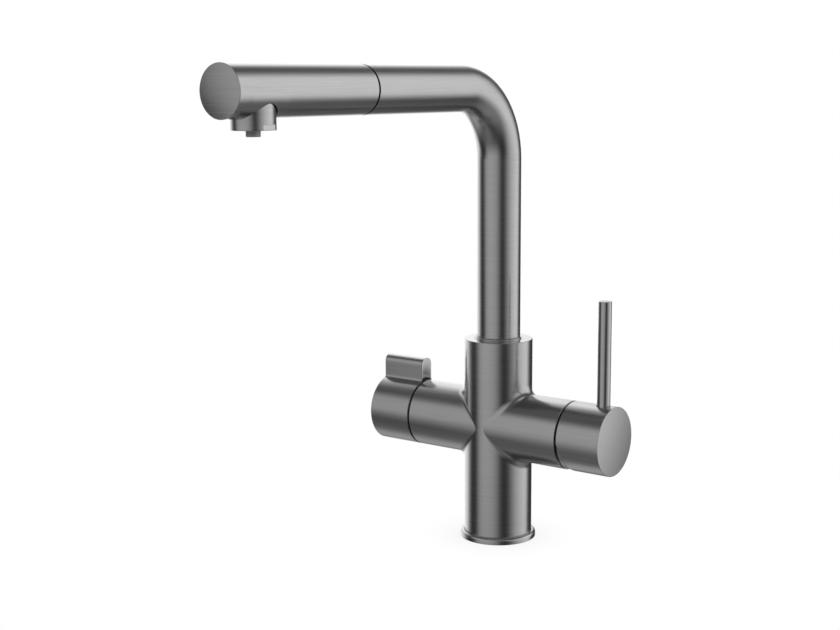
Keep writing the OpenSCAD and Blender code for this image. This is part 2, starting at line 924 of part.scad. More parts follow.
// Filtered-water nozzle: tube through the aerator with a thin stem up into the core
module filter_nozzle() {
    shoulder = spout_h - outlet_top - fit - outlet_roof;
    color(gunmetal)
        difference() {
            translate([0, -nozzle_reach, 0])
                union() {
                    translate([0, 0, rim_z - nozzle_drop])
                        cylinder(r = nozzle_r, h = shoulder - fit - rim_z + nozzle_drop);
                    translate([0, 0, shoulder - over])
                        cylinder(r = nozzle_bore_r + 0.9, h = outlet_roof + over);
                }
            translate([0, -nozzle_reach, rim_z - nozzle_drop - over])
                cylinder(r = nozzle_bore_r, h = tube_d);
        }
}

// Tail of the handset: flange in the shell, sliding spigot, threaded nipple for the hose
valve_depth = 16;
valve_l = 14;
valve_seat = shell_start - valve_depth;
module handset_tail() {
    color(brass)
        difference() {
            union() {
                bar_y(shell_in - fit, shell_start + 0.4, shell_start + tail_flange);
                bar_y(tail_r, tail_end, shell_start + 1);
                bar_y(nipple_r, nipple_end, tail_end + over);
            }
            bar_y(tail_bore_r, nipple_end - over, shell_start + tail_flange + over);
            bar_y(valve_r + fit, valve_seat, shell_start + tail_flange + over);
            tail_groove();
        }
}

// Groove for the tail's O-ring
tail_ring_y = shell_start - 9;
tail_ring_r = 0.7;
module tail_groove() {
    ring_y(tail_r + over, tail_r - 2 * tail_ring_r, tail_ring_y - tail_ring_r - 0.1,
           tail_ring_y + tail_ring_r + 0.1);
}

module tail_o_ring() {
    color(rubber)
        translate([0, -tail_ring_y, spout_h])
            rotate([90, 0, 0])
                rotate_extrude()
                    translate([tail_r + run - fit - tail_ring_r, 0])
                        circle(r = tail_ring_r);
}

module check_valve() {
    color(acetal)
        ring_y(valve_r, 2.5, valve_seat + fit, valve_seat + valve_l);
}

module hose_nut() {
    color(brass)
        difference() {
            translate([0, -hose_nut_end, spout_h])
                rotate([90, 0, 0])
                    cylinder(r = tail_r - 0.3, h = hose_nut_l, $fn = 6);
            bar_y(nipple_r + fit, nipple_end - 1, tail_end + over);
            bar_y(hose_r + fit, hose_nut_end - over, nipple_end);
        }
}

module hose_ferrule() {
    color(steel)
        ring_y(ferrule_r, hose_r + fit, ferrule_end, hose_nut_end);
}

// The straight stretch of hose behind the handset
module pull_hose() {
    color(braid)
        bar_y(hose_r, hose_split, hose_tip);
}

body();
base_flange();
base_seal();
inlet_block();
slip_ring();
upper_bearing();
lower_bearing();
spout_o_ring();
swivel_screw();
cartridge_seal();
cartridge_housing();
cartridge_nut();
dome_shroud();
headwork_seal();
headwork_body();
glide_ring();
cartridge_rotor();
rotor_pin();
cartridge_stem();
mixer_handle();
lever_rod();
lever_grub();
filter_spindle();
filter_handle();
filter_grub();
spout_tube();
spout_foot();
docking_sleeve();
riser_hose();
handset_shell();
end_cap();
handset_core();
outlet_housing();
aerator();
filter_nozzle();
handset_tail();
tail_o_ring();
check_valve();
hose_nut();
hose_ferrule();
pull_hose();
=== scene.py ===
"""Three-way kitchen mixer tap, dressed round its CAD frame.

Lengths are in millimetres up to the point where a mesh is made, and metres in Blender.
+Z is up, the spout points along -Y, the mixer handle is on +X, the filter handle on -X.
In a name, R is a radius, IN an inner radius, and X, Y or Z a place along that axis. START, END,
STEP and FLOOR are places along the piece's own axis, as distances from the origin.
"""

import json
import math

import bmesh
import bpy
import numpy as np
from mathutils import Matrix

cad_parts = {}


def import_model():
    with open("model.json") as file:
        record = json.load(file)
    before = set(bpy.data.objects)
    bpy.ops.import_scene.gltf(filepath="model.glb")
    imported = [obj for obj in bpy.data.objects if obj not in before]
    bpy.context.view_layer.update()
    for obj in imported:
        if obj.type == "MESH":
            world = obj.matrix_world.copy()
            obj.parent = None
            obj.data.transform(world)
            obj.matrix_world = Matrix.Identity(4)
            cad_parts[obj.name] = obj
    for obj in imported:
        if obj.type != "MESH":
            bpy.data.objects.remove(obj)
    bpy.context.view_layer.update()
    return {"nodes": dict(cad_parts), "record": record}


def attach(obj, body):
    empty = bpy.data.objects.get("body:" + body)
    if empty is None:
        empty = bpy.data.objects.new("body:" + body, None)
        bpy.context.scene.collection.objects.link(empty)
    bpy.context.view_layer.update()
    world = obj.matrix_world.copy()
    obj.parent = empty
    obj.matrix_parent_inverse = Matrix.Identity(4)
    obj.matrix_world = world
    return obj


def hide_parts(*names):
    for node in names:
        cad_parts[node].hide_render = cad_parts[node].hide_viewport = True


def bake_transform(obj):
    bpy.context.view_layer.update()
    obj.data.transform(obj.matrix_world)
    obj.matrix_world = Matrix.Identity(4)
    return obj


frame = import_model()
MM = 0.001
FULL = 2 * math.pi
X, Y, Z = np.eye(3)

# Body and base
BARREL_R, BARREL_FOOT, BARREL_TOP = 22.0, 2.0, 131.5
ARM_R, VALVE_Z = 21.8, 75.0
MIXER_ARM, FILTER_ARM = 55.3, 56.3
FILLET = 5.5
MIXER_POCKET, FILTER_POCKET = (17.05, 14.05), (12.05, 9.55)
POCKET_STEP, POCKET_FLOOR = 44.0, 20.0
PASSAGE_R, BLOCK_R, BLOCK_TOP = 8.5, 19.35, 16.0
CHAMBER_R, CHAMBER_Z = 15.53, 102.5
FLANGE_R, FLANGE_IN, FLANGE_H, FLANGE_ROUND = 24.6, 19.45, 4.0, 1.6
SEAL_IN, SEAL_OUT, SEAL_TOP = 20.6, 22.4, 1.2
SCREW_Z, SCREW_R, SCREW_FLOOR = 117.0, 2.5, 17.5
COVER_IN, COVER_OUT, COVER_LIP = 13.48, 15.48, 14.7
# Spout and handset
TUBE_R, TUBE_IN, TUBE_FOOT = 14.0, 12.6, 132.55
SPOUT_Z, BEND_R, MOUTH = 290.5, 44.5, 138.1
SPOUT_RISE, QUARTER = SPOUT_Z - BEND_R - TUBE_FOOT, BEND_R * math.pi / 2
DOCK_START, DOCK_IN, DOCK_R, SEAM_SHADE_R = 114.3, 9.25, 12.5, 13.3
SHELL_START, SHELL_END, SHELL_IN = 139.45, 247.45, 12.8
HANDSET_END, CAP_CROWN = 247.8, 0.6
CAP_RIM, CAP_PLUG_R, CAP_PLUG_END = 247.5, 12.75, 241.2
OUTLET_Y, OUTLET_R, RIM_Z = 224.4, 11.75, 270.8
CUP_TOP, CUP_ROOF, CUP_HOLE, CUP_WALL = 287.45, 283.95, 3.2, 1.6
HOLE_R, FLAT, FLAT_H = 12.45, 10.95, 3
NOZZLE_Y, NOZZLE_R, NOZZLE_TIP = 224.7, 3.8, 267.5
NOZZLE_IN, NOZZLE_NECK = 2.2, 3.1
HOSE_R = 6.5
# Mixer handle
PIVOT_X, KNOB_END, KNOB_CROWN, KNOB_IN = 56.6, 86.0, 0.4, 19.6
KNOB_FLOOR, BOSS_R, BOSS_START, SOCKET_R, SOCKET_END = 83.0, 8.5, 65.5, 4.6, 82.0
CUT_SLOPE = math.tan(math.radians(14))
LEVER_X, LEVER_R, LEVER_TOP, LEVER_FOOT = 77.8, 4.17, 162.1, 94.93
STUD_R, STUD_END = 2.95, 86.0
LIP_IN, LIP_X = 21.35, 56.8
DOME_R, DOME_IN, DOME_START, DOME_END, DOME_FALL = 21.25, 15, 56.9, 66.6, 10
NECK_R, NECK_START = 19.5, 51.1
# Filter handle
RING_IN, RING_R = 17.0, 20.9
FILTER_START, FILTER_END, FILTER_IN, FILTER_FLOOR = 57.75, 88.8, 19.4, 85.3
HUB_R, HUB_START, SPLINE_R, SPLINE_END = 8.0, 64.3, 3.6, 85.0
TAB_HALF, TAB_TOP, TAB_ROUND, TAB_FILLET = 5.3, 36.5, 4.2, 2.0
GRUB_X, GRUB_R, GRUB_FLOOR = 73.3, 2.6, 58.0


# Meshes
class Skin:
    """Collects grids of points and turns them into one closed mesh."""

    def __init__(self):
        self.points, self.faces, self.count = [], [], 0

    def grid(self, points, closed=False, skip=None):
        """Quads between neighbouring rows and columns of a (rows, columns, 3) grid. The last
        column joins the first. closed joins the last row to the first, skip leaves out the
        quads between two rows and two columns."""
        rows, cols = points.shape[:2]
        r = np.arange(rows if closed else rows - 1)[:, None]
        c = np.arange(cols)[None, :]
        r2, c2 = (r + 1) % rows, (c + 1) % cols
        quads = np.stack([r * cols + c, r * cols + c2, r2 * cols + c2, r2 * cols + c], -1)
        keep = np.ones(quads.shape[:2], bool)
        if skip:
            (r0, r1), (c0, c1) = skip
            keep[r0:r1, np.arange(c0, c1) % cols] = False
        self.points.append(points.reshape(-1, 3))
        self.faces.append(quads[keep] + self.count)
        self.count += rows * cols

    def make(self, name, body, replaces=()):
        """Merges the grids' shared edges, points the faces outwards and rides on the body."""
        mesh = bpy.data.meshes.new(name)
        mesh.from_pydata((np.concatenate(self.points) * MM).tolist(), [],
                         np.concatenate(self.faces).tolist())
        work = bmesh.new()
        work.from_mesh(mesh)
        bmesh.ops.remove_doubles(work, verts=work.verts, dist=2e-7)
        bmesh.ops.recalc_face_normals(work, faces=work.faces)
        work.to_mesh(mesh)
        work.free()
        mesh.polygons.foreach_set("use_smooth", np.ones(len(mesh.polygons), bool))
        obj = bpy.data.objects.new(name, mesh)
        bpy.context.scene.collection.objects.link(obj)
        if body:
            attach(obj, body)
        if replaces:
            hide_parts(*replaces)
        return obj


def rounded(corners, steps=5, closed=True):
    """A line through corners (a, b, radius): each corner becomes an arc of its radius, with a
    point just outside either end of the arc that keeps the flats beside it flat."""
    c = np.array(corners, float)
    out = []
    for i, (a, b, radius) in enumerate(c):
        here = np.array([a, b])
        last = not closed and i in (0, len(c) - 1)
        if radius <= 0 or last:
            out.append(here[None])
            continue
        to_prev = c[i - 1, :2] - here
        to_next = c[(i + 1) % len(c), :2] - here
        d0, d1 = to_prev / np.linalg.norm(to_prev), to_next / np.linalg.norm(to_next)
        half = math.acos(np.clip(d0 @ d1, -1, 1)) / 2
        reach = radius / math.tan(half)
        centre = here + (d0 + d1) / np.linalg.norm(d0 + d1) * radius / math.sin(half)
        start, end = here + d0 * reach - centre, here + d1 * reach - centre
        turn = math.atan2(start[0] * end[1] - start[1] * end[0], start @ end)
        t = np.linspace(0, turn, steps + 1)[:, None]
        side = np.array([-start[1], start[0]])
        arc = centre + start * np.cos(t) + side * np.sin(t)
        hold = 0.3 * radius
        out.append(np.concatenate([here + d0 * (reach + hold) + 0 * arc[:1], arc,
                                   here + d1 * (reach + hold) + 0 * arc[:1]]))
    return np.concatenate(out)


def angles(columns):
    """Evenly spaced angles once round."""
    return np.arange(columns) * FULL / columns


def turned(profile, origin, along, u, v, turn):
    """A profile of (distance from the axis, place along it) carried round the axis: every point
    lies at origin + place * along + distance * (u cos + v sin)."""
    r, s = profile[:, 0, None, None], profile[:, 1, None, None]
    ring = np.cos(turn)[None, :, None] * u + np.sin(turn)[None, :, None] * v
    return np.asarray(origin, float) + s * np.asarray(along) + r * ring


def crown(radius, place, rise, steps=9):
    """Slightly domed end face, from the rim to the axis: the rise falls off with the square of
    the distance from the axis. The first two points keep the rim's round from shading it."""
    r = radius * np.concatenate([[1, 0.985], np.linspace(0.94, 0, steps)])
    return np.stack([r, place + rise * (1 - (r / radius) ** 2), 0 * r], -1)


def turned_piece(name, body, corners, origin, along, u, v, replaces=(),
                 columns=192, steps=5):
    """A closed ring, or a closed solid where the profile's two ends lie on the axis."""
    on_axis = corners[0][0] == 0 and corners[-1][0] == 0
    skin = Skin()
    skin.grid(turned(rounded(corners, steps, not on_axis), origin, along, u, v, angles(columns)),
              closed=not on_axis)
    skin.make(name, body, replaces)


def window(skin, grid, rows, cols, curve, project, rings=8):
    """Puts a grid into the skin and fills the window left between two of its rows and two of its
    columns: rings of points go from the window's edge to a curve, each a share of the way, and
    project brings each ring back on to the surface. Returns the curve's angles in the order of
    the window's edge."""
    skin.grid(grid, skip=(rows, cols))
    (r0, r1), (c0, c1) = rows, cols
    n = grid.shape[1]
    across, down = np.arange(c0, c1 + 1) % n, np.arange(r0, r1 + 1)
    edge = np.concatenate([grid[r0, across[:-1]], grid[down[:-1], across[-1]],
                           grid[r1, across[:0:-1]], grid[down[:0:-1], across[0]]])
    m, k = len(across) - 1, len(down) - 1
    row = np.concatenate([np.full(m, -1.0), np.linspace(-1, 1, k + 1)[:-1], np.full(m, 1.0),
                          np.linspace(1, -1, k + 1)[:-1]])
    col = np.concatenate([np.linspace(-1, 1, m + 1)[:-1], np.full(k, 1.0),
                          np.linspace(1, -1, m + 1)[:-1], np.full(k, -1.0)])
    a = np.arctan2(row, col)
    share = np.linspace(0, 1, rings + 1)[:, None, None] ** 0.8
    skin.grid(project(edge * (1 - share) + curve(a) * share))
    return a


def on_cylinder(points, origin, along, radius):
    """Moves points straight away from an axis until they lie at the radius."""
    rel = points - np.asarray(origin, float)
    s = (rel @ along)[..., None] * along
    out = rel - s
    distance = np.linalg.norm(out, axis=-1, keepdims=True)
    return np.asarray(origin, float) + s + out * radius / distance


# Body
def fillet_band():
    """Fillet between the barrel and the arm on +X, as rows from the barrel's edge to the arm's. A
    ball rolls round the arm and touches both cylinders, so its centre keeps a fillet's distance
    from both. A point is the ball's centre plus the ball's radius times a direction that turns
    from the barrel to the arm."""
    t = angles(192)
    y, z = (ARM_R + FILLET) * np.cos(t), (ARM_R + FILLET) * np.sin(t)
    ball = np.stack([np.sqrt((BARREL_R + FILLET) ** 2 - y * y), y, z], -1)
    to_barrel = -ball * [1, 1, 0] / (BARREL_R + FILLET)
    to_arm = -ball * [0, 1, 1] / (ARM_R + FILLET)
    blend = np.linspace(0, 1, 17)[:, None, None]
    mix = to_barrel * (1 - blend) + to_arm * blend
    return ball + FILLET * mix / np.linalg.norm(mix, axis=-1, keepdims=True)


def arm(skin, band, side, end, edge, seat, bore):
    """Arm on one side, 1 for the mixer's and -1 for the filter's: its fillet, rings that go from
    the fillet's edge to a plain circle, each a share of the way, and its end with the valve's
    pocket, a turned profile."""
    even_from, end_from = 32, 40
    flip, valve = np.array([side, 1, 1]), np.array([0, 0, VALVE_Z])
    t = angles(band.shape[1])
    foot = band[-1, :, 0]
    rim = rounded([(ARM_R, end_from, 0), (ARM_R, end, edge), (seat, end, 0.3),
                   (seat, POCKET_STEP, 0)], 6, False)
    rim = np.concatenate([rim, [(bore, POCKET_STEP), (bore, POCKET_FLOOR), (0, POCKET_FLOOR)]])
    rows = [np.stack([foot * (1 - w) + even_from * w, ARM_R * np.cos(t), ARM_R * np.sin(t)], -1)
            for w in (0, 0.01, 0.3, 0.65, 1)]
    wall = turned(rim, (0, 0, 0), X, Y, Z, t)
    skin.grid(band * flip + valve)
    skin.grid(np.concatenate([rows, wall]) * flip + valve)


def barrel_columns(band):
    """Heading of each of the barrel's columns, and its distance from the arms' axis where it
    stops. The columns run through the fillets' points of contact in front of and behind each
    arm, and through the strips between the arms."""
    contact = band[0, :band.shape[1] // 2 + 1]
    heading = np.arctan2(contact[:, 1], contact[:, 0])
    stop = contact[:, 2].copy()
    stop[0] = stop[-1] = 0
    strip = np.linspace(heading[-1], -math.pi - heading[-1], 9)[1:-1]
    heading = np.concatenate([heading, strip, -math.pi - heading[::-1], strip - math.pi])
    stop = np.concatenate([stop, 0 * strip, stop[::-1], 0 * strip])
    return heading, stop


def barrel_back(skin, upper, levels, heading):
    """Barrel above the arms with the stop screw's hole at its back: a circle seen from behind,
    laid on the barrel, sunk into it and closed by a flat floor."""
    behind = np.argmin(np.abs(np.angle(np.exp(1j * (heading - math.pi / 2)))))
    first = np.argmin(np.abs(levels - SCREW_Z)) - 2

    def mouth(radius, sink=0.0):
        def curve(a):
            x = -radius * np.cos(a)
            y = np.sqrt(BARREL_R ** 2 - x * x) - sink
            return np.stack([x, y, SCREW_Z + radius * np.sin(a)], -1)
        return curve

    a = window(skin, upper, (first, first + 4), (behind - 9, behind + 9), mouth(SCREW_R + 0.25),
               lambda p: on_cylinder(p, (0, 0, 0), Z, BARREL_R))
    floor = [np.stack([-r * np.cos(a), 0 * a + SCREW_FLOOR, SCREW_Z + r * np.sin(a)], -1)
             for r in (SCREW_R, 0)]
    skin.grid(np.stack([mouth(SCREW_R + 0.25)(a), mouth(SCREW_R + 0.07, 0.07)(a),
                        mouth(SCREW_R, 0.25)(a), *floor]))


def cast_body():
    """Barrel and arms as one skin. The barrel is columns on its cylinder that stop where the
    fillets touch it. Its rim, its bores and its foot are one profile on the same columns."""
    skin = Skin()
    band = fillet_band()
    arm(skin, band, 1, MIXER_ARM, 0.25, *MIXER_POCKET)
    arm(skin, band, -1, FILTER_ARM, 0.12, *FILTER_POCKET)
    heading, stop = barrel_columns(band)
    ring = np.stack([np.cos(heading), np.sin(heading), 0 * heading], -1)

    def columns(heights):
        return BARREL_R * ring + heights[..., None] * Z

    clear, rim = ARM_R + FILLET + 3, BARREL_TOP - 3
    share = np.array([0, 0.01, 0.25, 0.5, 0.75, 1])[:, None]
    for up in (1, -1):
        skin.grid(columns((VALVE_Z + up * stop) * (1 - share) + (VALVE_Z + up * clear) * share))
    levels = np.linspace(VALVE_Z + clear, rim, 13)
    barrel_back(skin, columns(levels[:, None] + 0 * heading), levels, heading)

    top = rounded([(BARREL_R, rim, 0), (BARREL_R, BARREL_TOP, 0.35),
                   (CHAMBER_R, BARREL_TOP, 0.2), (CHAMBER_R, CHAMBER_Z, 0)], 5, False)
    passage = [(PASSAGE_R, CHAMBER_Z), (PASSAGE_R, BLOCK_TOP)]
    foot = rounded([(BLOCK_R, BLOCK_TOP, 0), (BLOCK_R, BARREL_FOOT, 0.2),
                    (BARREL_R, BARREL_FOOT, 0.2), (BARREL_R, BARREL_FOOT + 18, 0)], 4, False)
    outside = [(BARREL_R, z) for z in np.linspace(BARREL_FOOT + 24, VALVE_Z - clear, 4)]
    profile = np.concatenate([top, passage, foot, outside])
    skin.grid(np.stack([r * ring + z * Z for r, z in profile]))
    skin.make("body_casting", "tap_body", ["body"])


def base_ring():
    """Flange under the barrel: a turned ring with a groove for the seal in its underside."""
    seat = BARREL_R + 0.12
    turned_piece("base_ring", "tap_body", [
        (FLANGE_IN, 0, 0.1), (SEAL_IN, 0, 0), (SEAL_IN, SEAL_TOP, 0), (SEAL_OUT, SEAL_TOP, 0),
        (SEAL_OUT, 0, 0), (FLANGE_R, 0, 0.15), (FLANGE_R, FLANGE_H, FLANGE_ROUND),
        (seat, FLANGE_H, 0.05), (seat, BARREL_FOOT, 0), (FLANGE_IN, BARREL_FOOT, 0)],
        (0, 0, 0), Z, X, Y, ["base_flange"], steps=8)


def cover_ring():
    """Thin turned ring on the barrel's top, under the spout's foot."""
    low, high = BARREL_TOP - 1, BARREL_TOP + 1
    turned_piece("cover_ring", "tap_body", [
        (COVER_IN, low, 0), (COVER_OUT, low, 0), (COVER_OUT, BARREL_TOP, 0.05),
        (COVER_LIP, BARREL_TOP, 0.05), (COVER_LIP, high, 0.3), (COVER_IN, high, 0.1)],
        (0, 0, 0), Z, X, Y, ["slip_ring"], steps=4)


def shroud_dome():
    """Turned shroud that shows in the mixer handle's cut: a neck in the arm's mouth, then a bulge
    that falls off with the square of the distance from its near edge. It stays inside the ball
    that the handle's lip sweeps round the pivot."""
    x = np.linspace(DOME_START + 0.15, DOME_START + 6, 25)
    bulge = [(DOME_R - (s - DOME_START) ** 2 / DOME_FALL, s, 0) for s in x]
    turned_piece("shroud_dome", "tap_body", [
        (DOME_IN, NECK_START, 0), (NECK_R, NECK_START, 0), (NECK_R, DOME_START, 0),
        (DOME_R - 0.1, DOME_START, 0), *bulge, (bulge[-1][0], DOME_END, 0),
        (DOME_IN, DOME_END, 0)],
        (0, 0, VALVE_Z), X, Y, Z, ["dome_shroud"])


def gap_shade_washer():
    """Black turned ring between the filter arm and its handle. Its black is painted shade that
    fills the gap between them.
    """
    end = FILTER_START - 0.05
    turned_piece("gap_shade_washer", "tap_body", [
        (RING_IN, -FILTER_ARM, 0), (RING_R, -FILTER_ARM, 0.05), (RING_R, -end, 0.05),
        # the ring's black in the gap is painted shade
        (RING_IN, -end, 0)],
        (0, 0, VALVE_Z), X, Y, Z, ["glide_ring"])


# Spout
def along_spout(profile, turn):
    """A profile of (radius, length along the spout) carried round the spout's axis: straight up,
    a quarter circle of the bend's radius, then level."""
    r, s = profile[:, 0], profile[:, 1]
    a = np.clip((s - SPOUT_RISE) / BEND_R, 0, math.pi / 2)
    level = np.clip(s - SPOUT_RISE - QUARTER, 0, None)
    y = -BEND_R + BEND_R * np.cos(a) - level
    z = TUBE_FOOT + np.clip(s, None, SPOUT_RISE) + BEND_R * np.sin(a)
    centre = np.stack([0 * y, y, z], -1)[:, None]
    outward = np.stack([0 * a, np.cos(a), np.sin(a)], -1)[:, None]
    ring = np.cos(turn)[:, None] * outward + np.sin(turn)[:, None] * X
    return centre + r[:, None, None] * ring


def spout_pipe():
    """Tube: both walls and both rims are one closed profile along the spout, with a ring at every
    72nd of the bend."""
    length = SPOUT_RISE + QUARTER + MOUTH - BEND_R
    bend_end = SPOUT_RISE + QUARTER
    mid = np.concatenate([[SPOUT_RISE - 4, SPOUT_RISE - 1], np.linspace(SPOUT_RISE, bend_end, 73),
                          [bend_end + 1, bend_end + 4]])
    foot = rounded([(TUBE_IN, 0, 0.15), (TUBE_R, 0, 0.25), (TUBE_R, SPOUT_RISE / 2, 0)], 5, False)
    mouth = rounded([(TUBE_R, length - 20, 0), (TUBE_R, length, 0.06),
                     (TUBE_IN, length - 2, 0.05), (TUBE_IN, length - 20, 0)], 5, False)
    profile = np.concatenate([foot, np.stack([0 * mid + TUBE_R, mid], -1), mouth,
                              np.stack([0 * mid + TUBE_IN, mid[::-1]], -1),
                              [(TUBE_IN, SPOUT_RISE / 2)]])
    skin = Skin()
    skin.grid(along_spout(profile, angles(192)), closed=True)
    skin.make("spout_pipe", "spout", ["spout_tube"])


def docking_collar_seam_shade():
    """Turned ring in the spout's mouth. Its rim fills the seam between the spout and the
    handset, and the rim's black there is painted shade for the seam's dark gap."""
    # the rim's black in the seam is painted shade
    seam_shade_start, seam_shade_end = MOUTH + 0.05, SHELL_START - 0.08
    turned_piece("docking_collar_seam_shade", "spout", [
        (DOCK_IN, DOCK_START, 0), (DOCK_R, DOCK_START, 0), (DOCK_R, seam_shade_start, 0),
        (SEAM_SHADE_R, seam_shade_start, 0.05), (SEAM_SHADE_R, seam_shade_end, 0.05), (DOCK_IN, seam_shade_end, 0)],
        (0, 0, SPOUT_Z), -Y, Z, X, ["docking_sleeve"])


# Handset
def outlet_hole(radius, hole, a, sink=0.0):
    """Edge of the round hole for the outlet on one of the sleeve's walls: a circle seen from
    below, laid on the cylinder of the wall's radius and moved up by sink."""
    x, y = -hole * np.cos(a), OUTLET_Y + hole * np.sin(a)
    return np.stack([x, -y, SPOUT_Z - np.sqrt(radius ** 2 - x * x) + sink], -1)


def shell_wall(skin, radius, hole, ends):
    """One wall of the handset's sleeve: a cylinder round the spout's axis, its columns counted
    from the top, with the outlet's round hole in its underside. Returns the hole's angles."""
    origin = np.array([0, 0, SPOUT_Z])
    turn = angles(192)
    under = len(turn) // 2
    near, far = OUTLET_Y - 13.6, OUTLET_Y + 13.6
    place = np.concatenate([[ends[0]], np.linspace(near, far, 25), [ends[1]]])
    grid = turned(np.stack([0 * place + radius, place], -1), origin, -Y, Z, X, turn)
    return window(skin, grid, (1, 25), (under - 46, under + 46),
                  lambda a: outlet_hole(radius, hole, a),
                  lambda p: on_cylinder(p, origin, Y, radius), 12)


def handset_sleeve():
    """Two cylinders, joined by a rounded rim at either end and by the wall of the outlet's hole,
    whose outer edge is broken."""
    skin = Skin()
    ends = (SHELL_START + 0.5, SHELL_END - 0.5)
    a = shell_wall(skin, TUBE_R, HOLE_R + 0.2, ends)
    shell_wall(skin, SHELL_IN, HOLE_R, ends)
    for end, wall in zip((SHELL_START, SHELL_END), ends):
        lip = rounded([(TUBE_R, wall, 0), (TUBE_R, end, 0.06), (SHELL_IN, end, 0.05),
                       (SHELL_IN, wall, 0)], 5, False)
        skin.grid(turned(lip, (0, 0, SPOUT_Z), -Y, Z, X, angles(192)))
    skin.grid(np.stack([outlet_hole(TUBE_R, HOLE_R + 0.2, a),
                        outlet_hole(TUBE_R, HOLE_R + 0.06, a, 0.06),
                        outlet_hole(TUBE_R, HOLE_R, a, 0.2), outlet_hole(SHELL_IN, HOLE_R, a)]))
    skin.make("handset_sleeve", "handset", ["handset_shell"])


def handset_end():
    """Flat end of the handset, slightly domed, with a plug that goes into the sleeve."""
    turned_piece("handset_end", "handset", [
        *crown(TUBE_R - 0.4, HANDSET_END, CAP_CROWN)[::-1], (TUBE_R, HANDSET_END, 0.2),
        (TUBE_R, CAP_RIM, 0), (CAP_PLUG_R, CAP_RIM, 0), (CAP_PLUG_R, CAP_PLUG_END, 0.3),
        (0, CAP_PLUG_END, 0)],
        (0, 0, SPOUT_Z), -Y, Z, X, ["end_cap"], steps=6)


def outlet_cup():
    """Outlet with two spanner flats: a turned profile whose lower part is cut off on both sides
    at the flats' distance from its axis."""
    place = (0, -OUTLET_Y, 0)
    inside, flat_top = OUTLET_R - CUP_WALL, RIM_Z + FLAT_H
    turn = angles(384)
    lower = rounded([(inside, RIM_Z, 0.2), (OUTLET_R, RIM_Z, 0.25),
                     (OUTLET_R, flat_top - 0.05, 0), (OUTLET_R, flat_top, 0)], 5, False)
    upper = np.array([(OUTLET_R, flat_top + 0.001), (OUTLET_R, flat_top + 0.05),
                      (OUTLET_R, CUP_TOP - 0.05), (OUTLET_R, CUP_TOP), (OUTLET_R - 0.1, CUP_TOP),
                      (CUP_HOLE, CUP_TOP), (CUP_HOLE, CUP_ROOF), (inside, CUP_ROOF)])
    low = turned(lower, place, Z, X, Y, turn)
    inset = np.clip(OUTLET_R - lower[:, 0], 0, 1)[:, None]
    low[..., 0] = np.clip(low[..., 0], -FLAT + inset, FLAT - inset)
    skin = Skin()
    skin.grid(np.concatenate([low, turned(upper, place, Z, X, Y, turn)]), closed=True)
    skin.make("outlet_cup", "handset", ["outlet_housing"])


def water_nozzle():
    """Small turned nozzle for filtered water inside the outlet."""
    shoulder, head = CUP_ROOF - 0.05, CUP_TOP - 0.05
    turned_piece("water_nozzle", "handset", [
        (NOZZLE_IN, NOZZLE_TIP, 0.25), (NOZZLE_R, NOZZLE_TIP, 0.35), (NOZZLE_R, shoulder, 0),
        (NOZZLE_NECK, shoulder, 0), (NOZZLE_NECK, head, 0), (NOZZLE_IN, head, 0)],
        (0, -NOZZLE_Y, 0), Z, X, Y, ["filter_nozzle"], columns=96)


def hose():
    """Straight stretch of braided hose, a tube on the spout's axis. Between near and far, where
    it crosses the joint when the handset is out, its rings are half a millimetre apart."""
    start, near, far, end = 50.0, 56.0, 94.0, 108.7
    core = HOSE_R - 0.5
    place = np.concatenate([np.linspace(start, near - 1, 3), np.linspace(near, far, 77),
                            np.linspace(far + 1, end, 9)])
    profile = np.concatenate([[(0, start), (core, start)],
                              np.stack([0 * place + HOSE_R, place], -1),
                              [(core, end), (0, end)]])
    skin = Skin()
    skin.grid(turned(profile, (0, 0, SPOUT_Z), -Y, Z, X, angles(64)))
    obj = skin.make("braided_hose", None, ["pull_hose"])
    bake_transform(obj)


